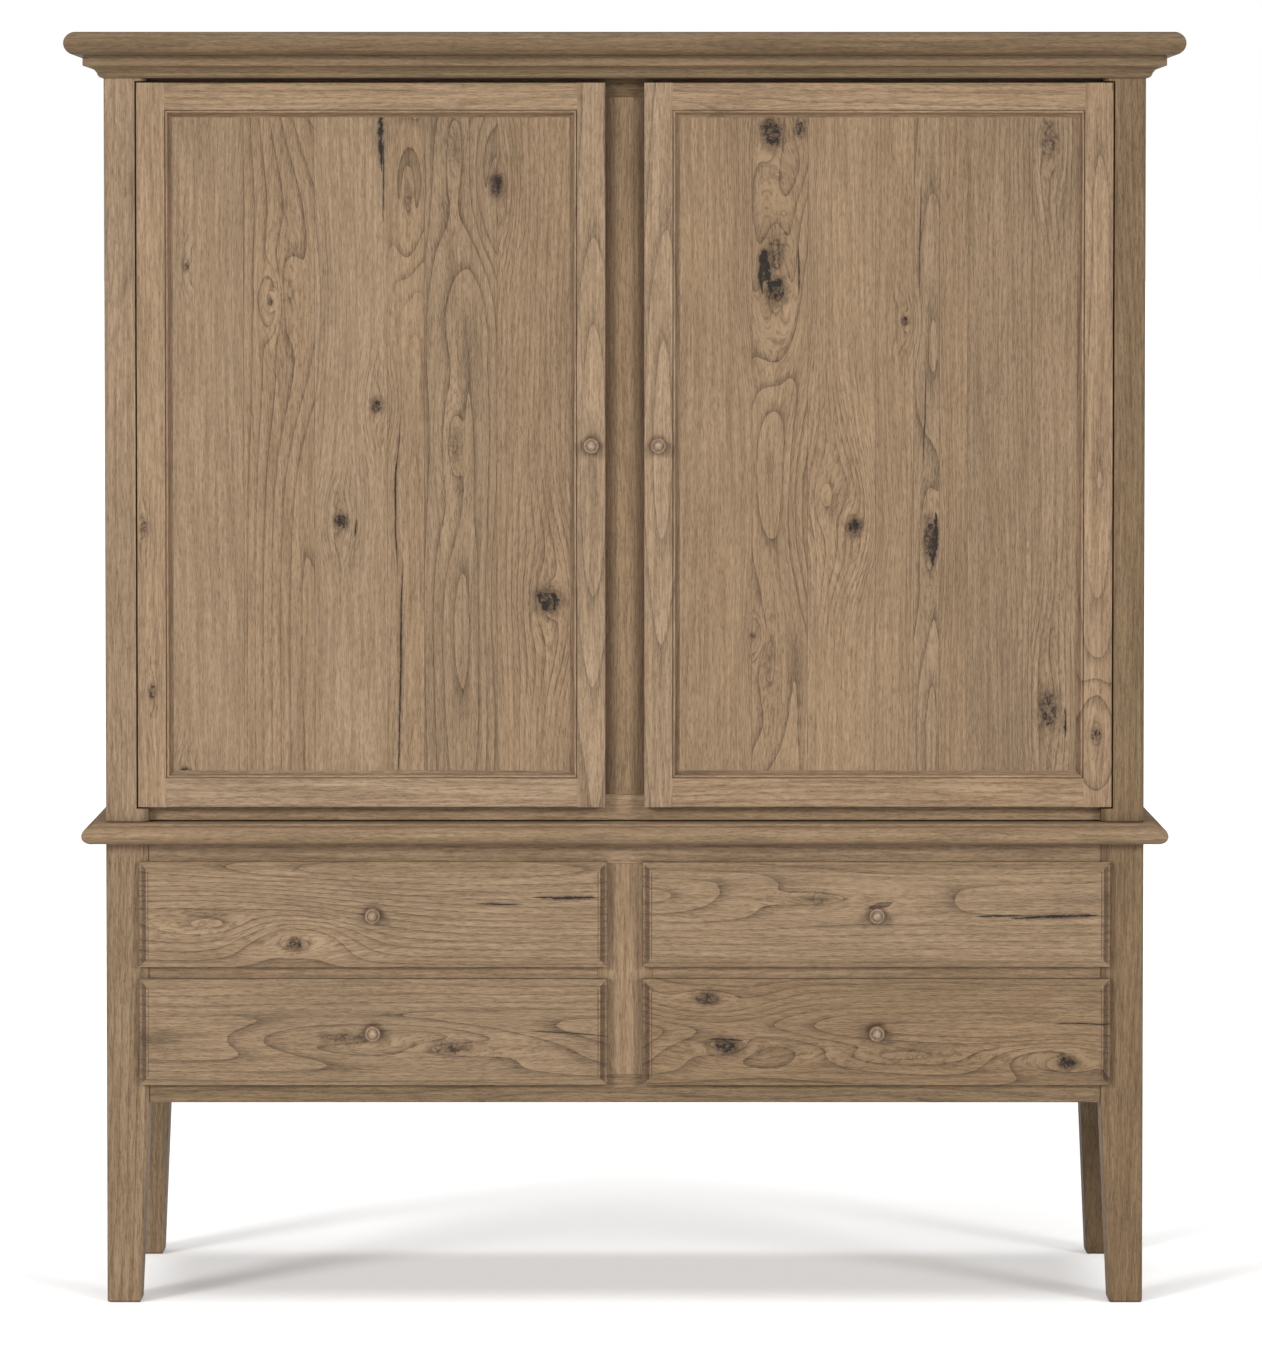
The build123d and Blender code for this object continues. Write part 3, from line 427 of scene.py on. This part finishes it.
# %% Dress every wooden node
WAYS = {"leg": "Z", "post": "Z", "stiles": "Z", "panel": "Z", "mullion": "Z", "side": "Z", "back": "Z",
        "knob": "Y", "box": "Y", "runners": "Y", "kickers": "Y", "partition": "Z", "side_rails": "Y"}
METAL = {"hinge_arms": "steel", "hinge_plates": "steel", "left_door_hinge_cups": "steel",
         "right_door_hinge_cups": "steel", "case_bolts": "steel", "shelf_pins": "bronze",
         "hanging_rail": "bronze", "rail_sockets": "bronze"}
GLUED_UP = {"upper_back": 10, "base_back": 7, "upper_side_left": 4, "upper_side_right": 4,
            "base_side_left": 3, "base_side_right": 3, "shelves": 3, "upper_floor": 4, "upper_roof": 4,
            "base_floor": 4, "upper_partition": 4, "base_partition": 3, "crown_cap": 3, "waist_top": 3}
TURNED = ("side_left", "side_right", "shelves", "floor", "roof", "partition", "crown_cap", "waist_top", "box")


def paint(piece, material):
    """Gives a piece's slots a material."""
    if not piece.material_slots:
        piece.data.materials.append(material)
    for place in piece.material_slots:
        place.material = material


def any_boards(name, grain, turned, count, seed):
    """Boards of uneven width across a piece, or one board, with figure picked at random."""
    dice = random.Random(seed)
    low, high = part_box(name)
    axis = CROSSWAYS[grain][1 if turned else 0].lower()
    start = getattr(low, axis)
    width = getattr(high, axis) - start
    middle = (getattr(low, grain.lower()) + getattr(high, grain.lower())) / 2
    length = getattr(high, grain.lower()) - getattr(low, grain.lower())
    shares = [dice.uniform(0.75, 1.25) for _ in range(count)]
    boards = []
    edge = start
    for share in shares:
        board = width * share / sum(shares)
        pith = edge + dice.choice((-0.12, 0.5, 1.15, 1.6)) * max(board, 0.06)
        boards.append((edge, dice.uniform(0.38, 0.60), pith, middle + dice.uniform(-0.4, 0.4) * length,
                       dice.choice((0.1, 0.15, 0.25, 0.6))))
        edge += board
    return boards


steel = new_finish("satin_steel").surface(base_color=(0.56, 0.55, 0.53, 1.0), metallic=1.0,
                                          roughness=0.32)
bronze = new_finish("antique_bronze").surface(base_color=(0.30, 0.21, 0.12, 1.0), metallic=1.0,
                                              roughness=0.38)
FINISHES = {}
for index, name in enumerate(sorted(NODES)):
    if name in METAL:
        FINISHES[name] = steel if METAL[name] == "steel" else bronze
        continue
    grain = "X"
    for word, way in WAYS.items():
        if word in name:
            grain = way
    if name in LIVELY:
        settings = dict(LIVELY[name])
    else:
        turned = name.endswith(TURNED)
        boards = any_boards(name, grain, turned, GLUED_UP.get(name, 1), index)
        settings = dict(boards=boards, turned=turned)
    if name.endswith("front"):
        settings["end_stain"] = 0.62
    # Painted shade for the mouldings and the mullion.
    for word, sunk in PAINTED_SHADE_BY_PIECE.items():
        if name.endswith(word):
            settings["sunk"] = sunk
    if name.endswith("knob"):
        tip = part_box(name)[0].y
        # A knob darkens towards its foot: painted shade.
        settings.update(gloss=0.5, tone=1.15, sunk=("Y", tip + 0.003, tip + 0.013, 0.85), end_stain=0.0)
    # Stiles and drawer fronts get a painted shadow round the foot of their knob.
    if name.endswith(("door_stiles", "_front")):
        low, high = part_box(name.rsplit("_", 1)[0] + "_knob")
        settings["fitting"] = ((low.x + high.x) / 2, (low.z + high.z) / 2, (high.x - low.x) / 2)
    settings.setdefault("tone", TONES.get(name, 1.0))
    FINISHES[name] = oak(name + "_oak", grain, seed=index, **settings)
for name, material in FINISHES.items():
    paint(NODES[name], material)
print("finishes:", len(FINISHES))

# %% [markdown]
# ## Eased edges
#
# No edge of hand-finished furniture is knife sharp. Each board listed below is replaced by a
# copy whose outward edges are rounded over a little, which also draws the fine line that one
# sees where two boards meet.

# %% Ease the outward edges
NARROW = 0.006                  # a face narrower than this is part of a curve, and shaded smooth
CORNER = math.radians(40)       # an edge sharper than this is eased
SHARP = math.radians(20)        # and one sharper than this is shaded as an edge


def eased(name, width):
    """A copy of a node's boards with softly rounded outward edges."""
    shape = bmesh.new()
    shape.from_mesh(NODES[name].data)
    bmesh.ops.remove_doubles(shape, verts=shape.verts, dist=0.00001)
    bmesh.ops.dissolve_limit(shape, angle_limit=math.radians(0.5), verts=shape.verts, edges=shape.edges,
                             delimit=set())
    corners = [edge for edge in shape.edges
               if edge.is_manifold and edge.is_convex and edge.calc_face_angle() > CORNER]
    bmesh.ops.bevel(shape, geom=corners, offset=width, offset_type="OFFSET", segments=2, profile=0.5,
                    affect="EDGES", clamp_overlap=True, material=-1)
    for face in shape.faces:
        longest = max(edge.calc_length() for edge in face.edges)
        face.smooth = face.calc_area() / longest < NARROW
    mesh = bpy.data.meshes.new(name + "_eased")
    shape.to_mesh(mesh)
    shape.free()
    mesh.set_sharp_from_angle(angle=SHARP)
    piece = bpy.data.objects.new(name + "_eased", mesh)
    bpy.context.scene.collection.objects.link(piece)
    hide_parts(name)
    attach(piece, BODY_OF[name])
    paint(piece, FINISHES[name])
    return piece


EASING = {
    "leg_front_left": 0.0015, "leg_front_right": 0.0015, "leg_rear_left": 0.0015,
    "leg_rear_right": 0.0015, "upper_post_front_left": 0.0015, "upper_post_front_right": 0.0015,
    "upper_mullion": 0.0006, "upper_top_rail": 0.0006, "upper_bottom_rail": 0.0006,
    "base_top_rail": 0.0006, "base_bottom_rail": 0.0008, "base_middle_rails": 0.0006,
    "base_mullion": 0.0006, "left_door_stiles": 0.0006, "right_door_stiles": 0.0006,
    "left_door_rails": 0.0006, "right_door_rails": 0.0006, "waist_top": 0.0008, "crown_cap": 0.0008,
    "crown_moulding": 0.0004, "drawer_upper_left_front": 0.0012, "drawer_upper_right_front": 0.0012,
    "drawer_lower_left_front": 0.0012, "drawer_lower_right_front": 0.0012, "shelves": 0.0015,
    "upper_side_rails": 0.0006, "upper_side_left": 0.0006, "upper_side_right": 0.0006,
}
for name, width in EASING.items():
    piece = eased(name, width)
    print(name, len(piece.data.polygons))

# %% [markdown]
# ## Studio
#
# Two broad soft lights stand in front, one to each side and the left one stronger, so anything
# set back is shaded from both sides. A third hangs overhead: it catches the upper edges of the
# mouldings and leaves a soft shadow on the floor under the case. The sky is white at the
# horizon and dim above, which keeps some depth in the undersides. The floor is white.

# %% Floor and lights
FLOOR_REACH = 400.0
FLOOR_GLOW = 0.20               # keeps the floor white without more lamps
SUNS = [("left_softbox", 40, 20, 2.40, 16), ("right_softbox", -42, 17, 1.70, 16),
        ("overhead_softbox", 5, 86, 2.6, 40)]


def studio_floor():
    shape = bmesh.new()
    bmesh.ops.create_grid(shape, x_segments=1, y_segments=1, size=FLOOR_REACH)
    mesh = bpy.data.meshes.new("studio_floor")
    shape.to_mesh(mesh)
    shape.free()
    floor = bpy.data.objects.new("studio_floor", mesh)
    bpy.context.scene.collection.objects.link(floor)
    finish = new_finish("studio_white")
    white = finish.node("ShaderNodeBsdfDiffuse", {}, {"Color": (0.8, 0.8, 0.8, 1.0)})
    glow = finish.node("ShaderNodeEmission", {},
                       {"Color": (1.0, 1.0, 1.0, 1.0), "Strength": FLOOR_GLOW})
    both = finish.node("ShaderNodeAddShader", {}, [white, glow])
    finish.node("ShaderNodeOutputMaterial", {}, [both])
    mesh.materials.append(finish.owner)
    return floor


def soft_sun(name, turn, height, strength, softness):
    """A distant light: turn is its angle to the left of the front, height its angle above."""
    data = bpy.data.lights.new(name, "SUN")
    data.energy = strength
    data.angle = math.radians(softness)
    lamp = bpy.data.objects.new(name, data)
    lamp.rotation_euler = (math.radians(90 - height), 0.0, math.radians(-turn))
    bpy.context.scene.collection.objects.link(lamp)
    return lamp


studio_floor()
for sun in SUNS:
    soft_sun(*sun)
sky = bpy.data.worlds.new("studio_sky")
sky_finish = Finish(sky)
direction = sky_finish.node("ShaderNodeTexCoord", {}, {}, "Generated")
height = sky_finish.node("ShaderNodeSeparateXYZ", {}, [direction], 2)
brightness = 1 - height.smooth(0.08, 0.22) * 0.88
light = sky_finish.node("ShaderNodeBackground", {},
                        {"Color": (1.0, 1.0, 1.0, 1.0), "Strength": brightness})
sky_finish.node("ShaderNodeOutputWorld", {}, [light])
bpy.context.scene.world = sky
bpy.context.scene.view_settings.view_transform = "Standard"
print("studio ready")
